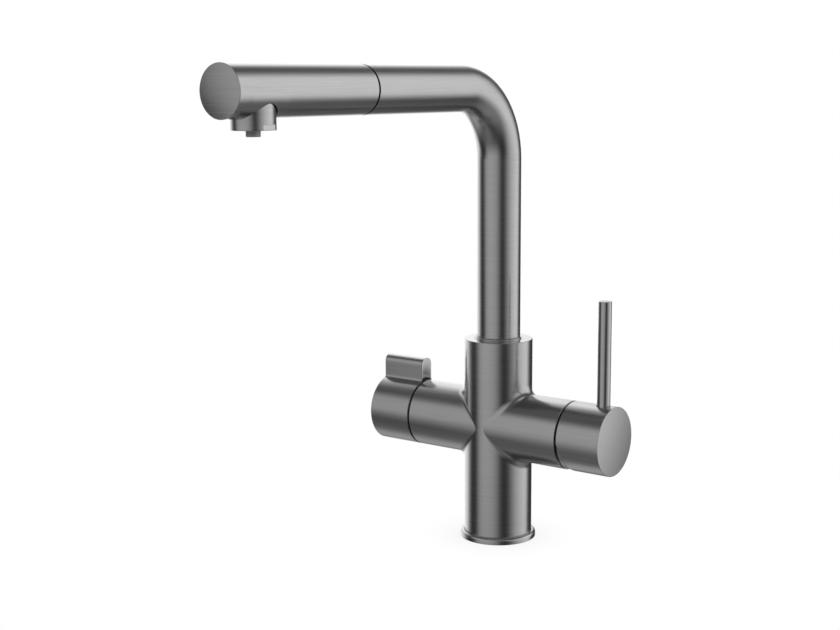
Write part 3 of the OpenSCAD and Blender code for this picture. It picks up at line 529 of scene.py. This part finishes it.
# Handles
def mixer_knob():
    """Cup round the arm's axis with a slanted cut under its open end, and a round recess on top
    for the lever. The cut moves a point along the axis by its depth below the axis times the
    cut's slope, eased in with the square of the depth at first."""
    skin = Skin()
    turn = angles(192)
    origin = np.array([0, 0, VALVE_Z])
    neck, step, shoulder = PIVOT_X + 2, PIVOT_X + 10.4, KNOB_END - 1.5
    ease = 1.5

    def wall(profile, cut):
        """A turned profile. cut is each point's share of the slanted cut, 1 at the open end."""
        points = turned(profile, origin, X, Z, Y, turn)
        depth = np.clip(VALVE_Z - points[..., 2], 0, None)
        smooth = np.where(depth > ease, depth - ease / 2, depth * depth / (2 * ease))
        points[..., 0] += np.asarray(cut)[:, None] * smooth * CUT_SLOPE
        return points

    def recess(radius, sink=0.0):
        """Circle seen from above, laid on the cup and sunk into it."""
        def curve(a):
            y = radius * np.cos(a)
            return np.stack([LEVER_X + radius * np.sin(a), y,
                             VALVE_Z - sink + np.sqrt(ARM_R ** 2 - y * y)], -1)
        return curve

    seat = LEVER_R + 0.2
    place = np.concatenate([[neck], np.linspace(LEVER_X - 5, LEVER_X + 5, 13), [shoulder]])
    outer = wall(np.stack([0 * place + ARM_R, place], -1), [1] + [0] * (len(place) - 1))
    a = window(skin, outer, (1, 13), (-8, 8), recess(seat + 0.2),
               lambda p: on_cylinder(p, origin, X, ARM_R), 6)

    def level_ring(radius, height):
        return np.stack([LEVER_X + radius * np.sin(a), radius * np.cos(a), 0 * a + height], -1)

    floor, stud, stud_end = LEVER_FOOT - 0.05, STUD_R + 0.05, STUD_END - 0.1
    skin.grid(np.stack([recess(seat + 0.2)(a), recess(seat + 0.06, 0.06)(a), recess(seat, 0.2)(a),
                        level_ring(seat, floor), level_ring(stud, floor),
                        level_ring(stud, stud_end), level_ring(0, stud_end)]))

    lip = rounded([(LIP_IN, neck, 0), (LIP_IN, LIP_X, 0.1), (ARM_R, LIP_X, 0.15),
                   (ARM_R, neck, 0)], 5, False)
    skin.grid(wall(lip, [1] * len(lip)))
    end = rounded([(ARM_R, shoulder, 0), (ARM_R, KNOB_END, 0.35), (ARM_R - 0.5, KNOB_END, 0)],
                  6, False)
    end = np.concatenate([end, crown(ARM_R - 0.6, KNOB_END, KNOB_CROWN)[:, :2]])
    skin.grid(wall(end, [0] * len(end)))
    inner = np.array([(LIP_IN, neck), (LIP_IN, step), (KNOB_IN, step), (KNOB_IN, SOCKET_END),
                      (KNOB_IN, KNOB_FLOOR), (BOSS_R, KNOB_FLOOR), (BOSS_R, BOSS_START),
                      (SOCKET_R, BOSS_START), (SOCKET_R, SOCKET_END), (0, SOCKET_END)])
    skin.grid(wall(inner, [1] + [0] * (len(inner) - 1)))
    skin.make("mixer_knob", "mixer_lever", ["mixer_handle"])


def lever_bar():
    """Straight turned lever with a thinner stud that goes down into the handle."""
    turned_piece("lever_bar", "mixer_lever", [
        (0, STUD_END, 0), (STUD_R, STUD_END, 0.2), (STUD_R, LEVER_FOOT, 0),
        (LEVER_R, LEVER_FOOT, 0.2), (LEVER_R, LEVER_TOP, 0.45), (0, LEVER_TOP, 0)],
        (LEVER_X, 0, 0), Z, X, Y, ["lever_rod"], columns=96, steps=6)


def tab_outline(inset=0.0):
    """Outline of the filter handle seen along its axis, as (y, z) points from the tab's middle
    round to it again, moved inwards by inset along its normal. Arcs: half of the tab's top, a
    corner, the tab's side, the foot's fillet, then the round part, and the same mirrored."""
    ball_y = TAB_HALF + TAB_FILLET
    ball_z = math.sqrt((ARM_R + TAB_FILLET) ** 2 - ball_y ** 2)
    lean = math.atan2(ball_y, ball_z)
    corner = (TAB_HALF - TAB_ROUND, TAB_TOP - TAB_ROUND)
    top = np.stack([np.linspace(0, corner[0], 3)[:-1], np.full(2, TAB_TOP)], -1)
    top_n = np.tile([0.0, 1.0], (2, 1))
    a = np.linspace(0, math.pi / 2, 17)
    arc_n = np.stack([np.sin(a), np.cos(a)], -1)
    arc = np.array(corner) + TAB_ROUND * arc_n
    side = np.stack([np.full(5, TAB_HALF), np.linspace(corner[1], ball_z, 7)[1:-1]], -1)
    side_n = np.tile([1.0, 0.0], (5, 1))
    b = np.linspace(0, math.pi / 2 - lean, 11)
    foot_n = np.stack([np.cos(b), np.sin(b)], -1)
    foot = np.array([ball_y, ball_z]) - TAB_FILLET * foot_n
    c = np.linspace(lean, math.pi, 81)[1:]
    round_n = np.stack([np.sin(c), np.cos(c)], -1)
    points = np.concatenate([top, arc, side, foot, ARM_R * round_n])
    normals = np.concatenate([top_n, arc_n, side_n, foot_n, round_n])
    mirror = np.array([-1, 1])
    points = np.concatenate([points, points[-2:0:-1] * mirror])
    normals = np.concatenate([normals, normals[-2:0:-1] * mirror])
    return points - inset * normals


def filter_knob():
    """Cup whose outline carries the tab along its full length. Both ends have a fine round: the
    outline moves inwards as a quarter circle's cosine and along the axis as its sine."""
    skin = Skin()
    outline = tab_outline()
    heading = outline / np.linalg.norm(outline, axis=1, keepdims=True)
    under = len(outline) // 2

    def section(points, x):
        """Points (y, z) set at a distance x out along the arm."""
        return np.stack([0 * points[:, 0] - x, points[:, 0], VALVE_Z + points[:, 1]], -1)

    def circle(radius, x):
        """A circle whose points have the outline's headings, so the rings inside join it."""
        return section(heading * radius, x)

    def rounded_end(x, direction, edge):
        quarter = np.linspace(0, math.pi / 2, 7)
        sections = [section(outline, x + direction * edge * 1.3)]
        sections += [section(tab_outline(edge * (1 - math.cos(t))),
                             x + direction * edge * (1 - math.sin(t))) for t in quarter]
        return sections + [section(tab_outline(edge * 1.3), x)]

    def hole(radius, sink=0.0):
        """Circle seen from below, laid on the cup and moved up into it."""
        def curve(a):
            y = -radius * np.cos(a)
            return np.stack([-GRUB_X - radius * np.sin(a), y,
                             VALVE_Z + sink - np.sqrt(ARM_R ** 2 - y * y)], -1)
        return curve

    place = np.concatenate([[FILTER_START + 0.4], np.linspace(GRUB_X - 3.6, GRUB_X + 3.6, 9),
                            [FILTER_END - 0.46]])
    a = window(skin, np.stack([section(outline, x) for x in place]), (1, 9),
               (under - 8, under + 8), hole(GRUB_R + 0.15),
               lambda p: on_cylinder(p, (0, 0, VALVE_Z), X, ARM_R), 5)
    floor = [np.stack([-GRUB_X - r * np.sin(a), -r * np.cos(a), 0 * a + GRUB_FLOOR], -1)
             for r in (GRUB_R, 0)]
    skin.grid(np.stack([hole(GRUB_R + 0.15)(a), hole(GRUB_R, 0.15)(a), *floor]))

    far = rounded_end(FILTER_END, -1, 0.35)
    flat, middle = far[-1], np.array([-FILTER_END, 0, VALVE_Z])
    skin.grid(np.stack(far + [middle + (flat - middle) * s for s in (0.6, 0.25, 0)]))
    skin.grid(np.stack(rounded_end(FILTER_START, 1, 0.15) + [
        circle(FILTER_IN + 0.1, FILTER_START), circle(FILTER_IN, FILTER_START + 0.1),
        circle(FILTER_IN, FILTER_FLOOR), circle(HUB_R, FILTER_FLOOR), circle(HUB_R, HUB_START),
        circle(SPLINE_R, HUB_START), circle(SPLINE_R, SPLINE_END), circle(0, SPLINE_END)]))
    skin.make("filter_knob", "filter_lever", ["filter_handle"])


# Materials
class Sock:
    """A socket or a number that Python's operators turn into Math nodes."""

    def __init__(self, tree, value):
        self.tree, self.value = tree, value

    def _math(self, operation, *values):
        return self.tree.node("ShaderNodeMath", {"operation": operation}, *values)

    def __add__(self, o):
        return self._math("ADD", self, o)

    def __sub__(self, o):
        return self._math("SUBTRACT", self, o)

    def __mul__(self, o):
        return self._math("MULTIPLY", self, o)

    def __truediv__(self, o):
        return self._math("DIVIDE", self, o)

    def __rsub__(self, o):
        return self._math("SUBTRACT", o, self)

    def __neg__(self):
        return self._math("MULTIPLY", self, -1.0)

    __radd__, __rmul__ = __add__, __mul__


class Tree:
    """Builds a node tree; node() takes a type, its settings and its sockets' values or links."""

    def __init__(self, owner):
        owner.use_nodes = True
        self.nodes, self.links = owner.node_tree.nodes, owner.node_tree.links
        self.nodes.clear()

    def node(self, kind, settings=None, *values, out=0, **named):
        n = self.nodes.new(kind)
        for key, value in (settings or {}).items():
            if key == "stops":
                self._ramp(n.color_ramp, value)
            else:
                setattr(n, key, value)
        pairs = list(zip(n.inputs, values)) + [(n.inputs[k.replace("_", " ")], v)
                                               for k, v in named.items()]
        for socket, value in pairs:
            if isinstance(value, Sock):
                self.links.new(value.value, socket)
            elif value is not None:
                socket.default_value = value
        return Sock(self, n.outputs[out]) if n.outputs else None

    @staticmethod
    def _ramp(ramp, stops):
        while len(ramp.elements) < len(stops):
            ramp.elements.new(0.5)
        for element, (place, value) in zip(ramp.elements, stops):
            element.position = place
            element.color = (value, value, value, 1)


def grey(value):
    """A grey in the form that a colour socket takes."""
    return (value, value, value, 1)


def metal(name, tone, rough, along=None, arms=False):
    """Brushed metal. The strokes are noise drawn out level: round the barrel where along is
    None, else along that axis. With arms they turn along X beyond the barrel. Tone and roughness
    are a middle value plus the strokes' distance from a half times a share, and the height is
    the fine strokes plus a share of the coarse ones."""
    material = bpy.data.materials.new(name)
    tree = Tree(material)
    place = tree.node("ShaderNodeTexCoord", out="Object")
    if arms:
        x = tree.node("ShaderNodeSeparateXYZ", {}, place)
        out = tree.node("ShaderNodeMath", {"operation": "ABSOLUTE"}, x)
        beyond = tree.node("ShaderNodeMapRange", {}, out, (BARREL_R + 2) * MM,
                           (BARREL_R + 6) * MM, 0.0, 1.0)

    def noise(scale):
        """Scale is in waves to the metre along X, Y and Z."""
        drawn = tree.node("ShaderNodeMapping", {}, place, Scale=scale)
        return tree.node("ShaderNodeTexNoise", {}, Vector=drawn, Scale=1.0, Detail=2.0)

    def strokes(fine, long):
        if along is not None:
            return noise([long if i == along else fine for i in range(3)])
        level = noise([long, long, fine])
        if not arms:
            return level
        return level * (1 - beyond) + noise([long, fine, fine]) * beyond

    hair, line = strokes(2400.0, 50.0), strokes(1100.0, 22.0)
    cloud = noise([60.0] * 3)
    level = 1 + (hair - 0.5) * 0.14 + (line - 0.5) * 0.16 + (cloud - 0.5) * 0.05
    shade = level * tone
    colour = tree.node("ShaderNodeCombineColor", {}, shade, shade, shade)
    height = tree.node("ShaderNodeBump", {}, Strength=0.15, Distance=0.0001,
                       Height=hair + line * 0.6)
    shader = tree.node("ShaderNodeBsdfPrincipled", {}, Base_Color=colour, Metallic=1.0,
                       Roughness=rough + (line - 0.5) * 0.08, Normal=height)
    tree.node("ShaderNodeOutputMaterial", {}, Surface=shader)
    return material


def plain(name, tone, rough, metallic=0.0):
    """Moulded plastic, rubber or machined metal. A fine even grain moves tone, roughness and
    height by its distance from a half times a share."""
    material = bpy.data.materials.new(name)
    tree = Tree(material)
    place = tree.node("ShaderNodeTexCoord", out="Object")
    grain = tree.node("ShaderNodeTexNoise", {}, Vector=place, Scale=300.0, Detail=3.0)
    level = 1 + (grain - 0.5) * 0.15
    colour = tree.node("ShaderNodeCombineColor", {}, *(level * part for part in tone))
    height = tree.node("ShaderNodeBump", {}, Strength=0.05, Distance=0.0002, Height=grain)
    shader = tree.node("ShaderNodeBsdfPrincipled", {}, Base_Color=colour, Metallic=metallic,
                       Roughness=rough + (grain - 0.5) * 0.1, Normal=height)
    tree.node("ShaderNodeOutputMaterial", {}, Surface=shader)
    return material


def paint(obj, material):
    """Gives a piece this material alone."""
    obj.data.materials.clear()
    obj.data.materials.append(material)


# Pieces and their finishes
cast_body()
base_ring()
cover_ring()
shroud_dome()
gap_shade_washer()
spout_pipe()
docking_collar_seam_shade()
handset_sleeve()
handset_end()
outlet_cup()
water_nozzle()
hose()
mixer_knob()
lever_bar()
filter_knob()

brushed_round = metal("gunmetal_brushed_round", 0.45, 0.22)
brushed_cross = metal("gunmetal_brushed_body", 0.45, 0.22, arms=True)
brushed_x = metal("gunmetal_brushed_along_x", 0.45, 0.22, 0)
brushed_y = metal("gunmetal_brushed_along_y", 0.45, 0.22, 1)
satin = metal("gunmetal_satin", 0.52, 0.75)
# black plastic; on the two rings in the seams the same black is painted shade
black = plain("black_plastic", (0.012, 0.012, 0.012), 0.4)
finishes = {
    "body_casting": brushed_cross, "base_ring": brushed_round, "cover_ring": brushed_round,
    "spout_pipe": brushed_round, "lever_bar": brushed_round, "outlet_cup": brushed_round,
    "water_nozzle": satin, "shroud_dome": brushed_x, "mixer_knob": brushed_x,
    "filter_knob": brushed_x, "handset_sleeve": brushed_y, "handset_end": brushed_round,
    # painted shade: these two rings' black fills the dark seams beside the filter handle and the
    # handset
    "gap_shade_washer": black, "docking_collar_seam_shade": black,
    "braided_hose": plain("hose_braid", (0.05, 0.05, 0.052), 0.5),
}
for name, material in finishes.items():
    paint(bpy.data.objects[name], material)
slots = {
    "gunmetal": brushed_round,
    "brass": plain("turned_brass", (0.55, 0.38, 0.15), 0.28, 1.0),
    "steel": plain("machined_steel", (0.5, 0.5, 0.52), 0.25, 1.0),
    "acetal": plain("white_acetal", (0.75, 0.75, 0.72), 0.45),
    "black_plastic": black,
    "rubber": plain("black_rubber", (0.02, 0.02, 0.02), 0.6),
    "braid": plain("hose_braid_inside", (0.05, 0.05, 0.052), 0.5),
}
for part in frame["record"]["subparts"]:
    obj = frame["nodes"][part["node"]]
    for s in obj.material_slots:
        s.material = slots[part["material_slot"]]


# Studio
def world():
    """What the brushed metal mirrors, worked out from a ray's heading and rise. Headings are
    degrees from the camera's side of the tap, positive to the right: a wide soft box on the
    right, a dimmer one on the left and the pale backdrop behind. Each is a ramp over the heading
    times a fade over the rise. They stand in a dim room with a pale ceiling and a ramp of its own
    for the rays that go down. The boxes look narrower where a ray goes down, and the right one
    wider where it goes up, as boxes that stand near do. Camera and diffuse rays meet plain
    white instead."""
    tree = Tree(bpy.context.scene.world)
    ray = tree.node("ShaderNodeTexCoord", out="Generated")
    axes = tree.node("ShaderNodeSeparateXYZ", {}, ray).value.node
    x, y, z = (Sock(tree, socket) for socket in axes.outputs)
    rise = tree.node("ShaderNodeMath", {"operation": "ARCSINE"}, z)
    azimuth = tree.node("ShaderNodeMath", {"operation": "ARCTAN2"}, y, x)
    camera_side, behind = math.radians(53.3), math.radians(165)
    peak = 1.5

    def wrapped(angle):
        return tree.node("ShaderNodeMath", {"operation": "WRAP"}, angle, -math.pi, math.pi)

    def fade(start, end):
        """Grows smoothly from 0 to 1 while the rise goes from start to end, in degrees."""
        return tree.node("ShaderNodeMapRange", {"interpolation_type": "SMOOTHSTEP"}, rise,
                         math.radians(start), math.radians(end), 0.0, 1.0)

    def ramp(across, stops):
        """Stops are (heading, level). A ramp holds levels up to 1, so they are shares of peak."""
        stops = [((degrees + 180) / 360, level / peak) for degrees, level in stops]
        return tree.node("ShaderNodeValToRGB", {"stops": stops}, across / FULL + 0.5)

    heading = wrapped(azimuth + camera_side)
    away = wrapped(heading + behind)
    low = tree.node("ShaderNodeMath", {"operation": "MAXIMUM"}, -rise, 0.0)
    high = tree.node("ShaderNodeMath", {"operation": "MINIMUM"}, rise, 0.32)
    side, inner_edge = math.pi / 2, 0.7
    drawn_right = side + (heading - side) * (1 - high * 0.6) + (heading - inner_edge) * low * 0.22
    drawn_left = heading * (1.22 - fade(-14, 4) * 0.22)
    drawn_back = away * (1 + fade(-12, -32) * 0.35 + fade(30, 50) * 0.15) - fade(0, -14) * 0.09

    right = ramp(drawn_right, [
        (14, 0.0), (24, 0.09), (35, 0.28), (48, 0.52), (65, 0.78), (85, 0.98), (98, 1.1),
        (112, 1.11), (118.7, 0.86), (125.7, 0.4), (131.7, 0.11), (139.5, 0.03), (146, 0.0)])
    left = ramp(drawn_left, [
        (-103, 0.0), (-95, 0.12), (-87, 0.4), (-76, 0.54), (-60, 0.61), (-40, 0.58), (-22, 0.5),
        (-8, 0.33), (3, 0.12), (12, 0.02), (18, 0.0)])
    back = ramp(drawn_back, [
        (-48, 0.0), (-39, 0.1), (-30, 0.42), (-24, 0.88), (-20, 1.3), (-15, 1.5), (15, 1.3),
        (28, 1.2), (36, 0.9), (44, 0.42), (52, 0.14), (60, 0.0)])
    below = ramp(heading, [
        (-180, 0.3), (-165, 0.52), (-140, 0.48), (-115, 0.23), (-98, 0.12), (-85, 0.14),
        (-55, 0.22), (-30, 0.16), (-5, 0.06), (22, 0.05), (40, 0.13), (65, 0.28), (95, 0.31),
        (120, 0.23), (145, 0.19), (165, 0.18), (180, 0.3)])
    room = (0.045 + fade(10, 60) * 0.1) / peak
    ceiling = fade(66, 84) * 0.4
    boxes = (right + left) * fade(-46, -10) * fade(52, 30) + room \
        + back * fade(-36, -16) * fade(62, 36) + ceiling + below * fade(-20, -50)

    seen = tree.node("ShaderNodeLightPath", out="Is Camera Ray")
    soft = tree.node("ShaderNodeLightPath", out="Is Diffuse Ray")
    tone = tree.node("ShaderNodeMix", {"data_type": "RGBA"}, Factor=seen + soft, A=boxes * peak,
                     B=grey(1.0), out=2)
    surround = tree.node("ShaderNodeBackground", {}, tone, 1.0)
    tree.node("ShaderNodeOutputWorld", {}, Surface=surround)


if bpy.context.scene.world is None:
    bpy.context.scene.world = bpy.data.worlds.new("studio")
world()


def floor():
    """White round sheet under the tap. It glows evenly, less where the tap keeps light off: a
    painted shadow, the glow dimmed by ambient occlusion.
    """
    skin = Skin()
    rings = np.array([(r, -0.02) for r in (0.0, 60, 200, 800, 3000, 12000)])
    skin.grid(turned(rings, (0, 0, 0), Z, X, Y, angles(96)))
    obj = skin.make("studio_floor", None)
    obj.visible_glossy = False
    material = bpy.data.materials.new("pale_floor")
    tree = Tree(material)
    # painted shadow: ambient occlusion near the tap dims the floor's glow
    open_sky = tree.node("ShaderNodeAmbientOcclusion", {"samples": 8}, Distance=0.03, out=1)
    glow = tree.node("ShaderNodeEmission", {}, grey(1.0), 0.8 + open_sky * 0.2)
    tree.node("ShaderNodeOutputMaterial", {}, Surface=glow)
    paint(obj, material)


floor()


def camera():
    """The photograph's camera. The columns of its matrix are its right, its up, the direction
    behind it and its place."""
    data = bpy.data.cameras.new("camera")
    data.sensor_width = 36
    data.lens = 60.664
    data.clip_start, data.clip_end = 0.05, 40
    obj = bpy.data.objects.new("camera", data)
    bpy.context.scene.collection.objects.link(obj)
    place = np.array([496.745, -751.607, 293.861]) * MM
    ahead = np.array([-0.58949, 0.79144, -0.16160])
    right = np.array([0.80246, 0.59668, -0.00499])
    up = np.array([-0.09247, 0.13263, 0.98684])
    matrix = np.eye(4)
    matrix[:3] = np.stack([right, up, -ahead, place], -1)
    obj.matrix_world = Matrix(matrix.tolist())
    bpy.context.scene.camera = obj


camera()
bpy.context.scene.view_settings.view_transform = "Standard"
